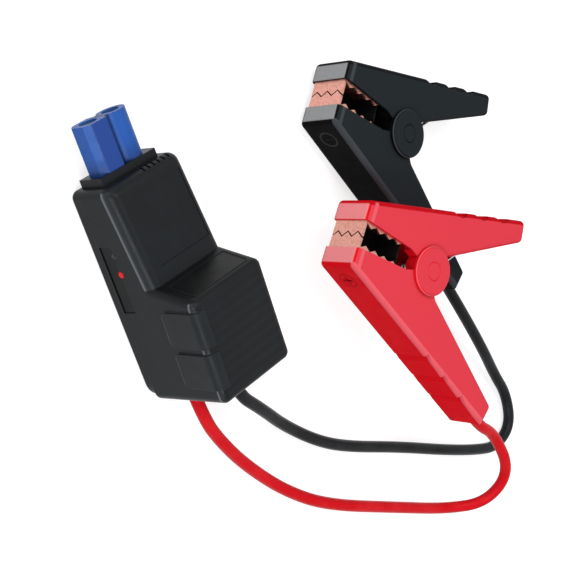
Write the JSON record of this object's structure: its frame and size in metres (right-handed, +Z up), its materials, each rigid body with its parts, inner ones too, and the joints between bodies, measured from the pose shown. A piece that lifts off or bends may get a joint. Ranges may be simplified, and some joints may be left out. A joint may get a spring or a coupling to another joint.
{
  "type": "jump starter clamp lead",
  "caption": "Control module with a two-barrel plug and two cords to hinged spring clamps, one red and one black.",
  "frame": {"origin": "middle of the bounding box of the module and both clamps, on the surface they lie on", "axes": "+X from the clamps' jaws towards their handle ends, +Y from each clamp's lower arm to its upper arm, +Z up from the surface"},
  "size_m": [0.2946, 0.2013, 0.0466],
  "materials": {
    "black_case": "satin",
    "black_panel": "gloss",
    "black_rubber": "matt",
    "red_light": "gloss",
    "dark_light": "gloss",
    "blue_plug": "satin",
    "contact_metal": "bright",
    "circuit_board": "satin",
    "relay_black": "satin",
    "can_metal": "bright",
    "steel": "bright",
    "red_handle": "satin",
    "black_handle": "satin",
    "copper_jaw": "bright copper plating",
    "red_rubber": "satin",
    "spring_steel": "bright"
  },
  "bodies": {
    "lead": {"rear_cover": "black_case", "front_housing": "black_case", "side_panel": "black_panel", "status_lens": "red_light", "mode_lens": "dark_light", "grip_pad_1": "black_rubber", "grip_pad_2": "black_rubber", "plug_collar": "black_case", "plug_body": "blue_plug", "left_contact": "contact_metal", "right_contact": "contact_metal", "circuit_board": "circuit_board", "left_relay": "relay_black", "right_relay": "relay_black", "capacitor": "can_metal", "red_gland": "black_rubber", "black_gland": "black_rubber", "red_lug": "contact_metal", "black_lug": "contact_metal", "cover_screw_1": "steel", "cover_screw_2": "steel", "cover_screw_3": "steel", "cover_screw_4": "steel", "red_lower_handle": "red_handle", "red_lower_jaw": "copper_jaw", "red_pivot_pin": "steel", "red_near_cap": "red_handle", "red_far_cap": "red_handle", "red_spring": "spring_steel", "red_terminal": "contact_metal", "red_cord": "red_rubber", "black_lower_handle": "black_handle", "black_lower_jaw": "copper_jaw", "black_pivot_pin": "steel", "black_near_cap": "black_handle", "black_far_cap": "black_handle", "black_spring": "spring_steel", "black_terminal": "contact_metal", "black_cord": "black_rubber"},
    "red_upper_arm": {"red_upper_handle": "red_handle", "red_upper_jaw": "copper_jaw"},
    "black_upper_arm": {"black_upper_handle": "black_handle", "black_upper_jaw": "copper_jaw"}
  },
  "joints": [
    {"name": "red_clamp_pivot", "type": "hinge", "parent": "lead", "child": "red_upper_arm", "pos_m": [0.05297, -0.0069, 0.0317], "axis": [0.0505, 0.064, -0.9967], "range_deg": [0, 38], "stiffness_Nm_per_rad": 0.8, "springref_deg": -34.38, "deforming": ["red_spring"]},
    {"name": "black_clamp_pivot", "type": "hinge", "parent": "lead", "child": "black_upper_arm", "pos_m": [0.03897, 0.0497, 0.0125], "axis": [0, 0, -1], "range_deg": [0, 38], "stiffness_Nm_per_rad": 0.8, "springref_deg": -34.38, "deforming": ["black_spring"]}
  ]
}
